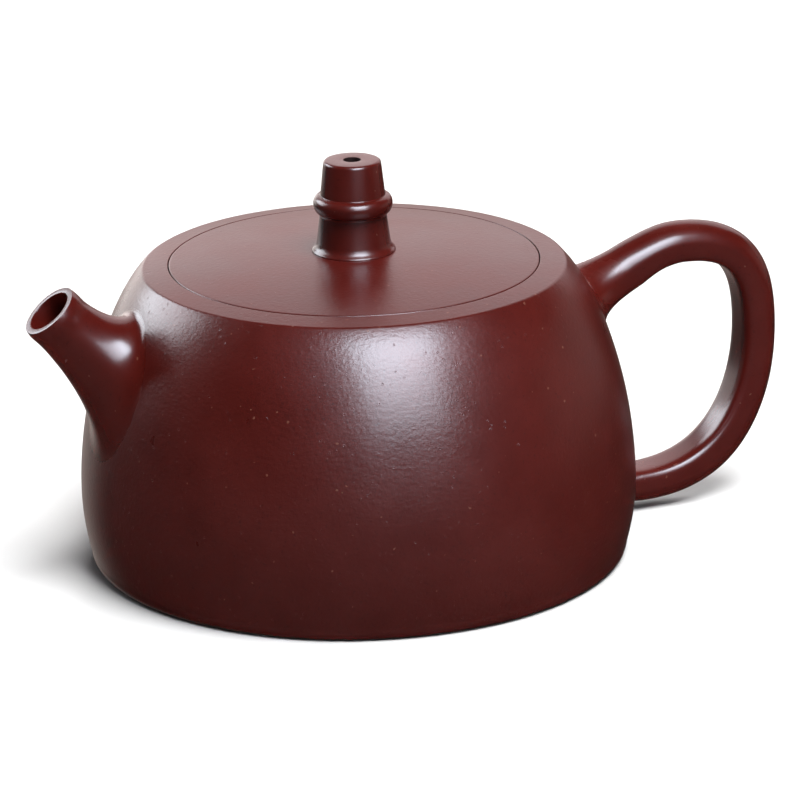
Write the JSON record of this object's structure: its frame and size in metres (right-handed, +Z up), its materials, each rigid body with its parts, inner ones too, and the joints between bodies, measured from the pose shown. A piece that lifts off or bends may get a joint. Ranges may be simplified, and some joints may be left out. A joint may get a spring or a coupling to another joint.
{
  "type": "clay teapot",
  "caption": "Round unglazed clay teapot with a flush lift-off lid and knob, a short straight spout with a strainer and an ear-shaped handle.",
  "frame": {"origin": "on the body's axis, at the flat underside that the pot stands on", "axes": "+Z up along the body's axis, +X towards the handle, the spout points along -X"},
  "size_m": [0.1395, 0.0976, 0.0711],
  "materials": {
    "pot_clay": "burnished satin, unglazed dark red-brown clay",
    "inner_clay": "matt, unburnished dark red-brown clay"
  },
  "bodies": {
    "pot": {"base_disc": "pot_clay", "body_wall": "pot_clay", "shoulder_ring": "pot_clay", "seat_ring": "inner_clay", "spout": "pot_clay", "strainer": "inner_clay", "handle": "pot_clay"},
    "lid": {"lid_plate": "pot_clay", "lid_flange": "inner_clay", "knob": "pot_clay"}
  },
  "joints": [
    {"name": "lid_lift", "type": "slide", "parent": "pot", "child": "lid", "axis": [0, 0, 1], "range_m": [0, 0.06]}
  ]
}
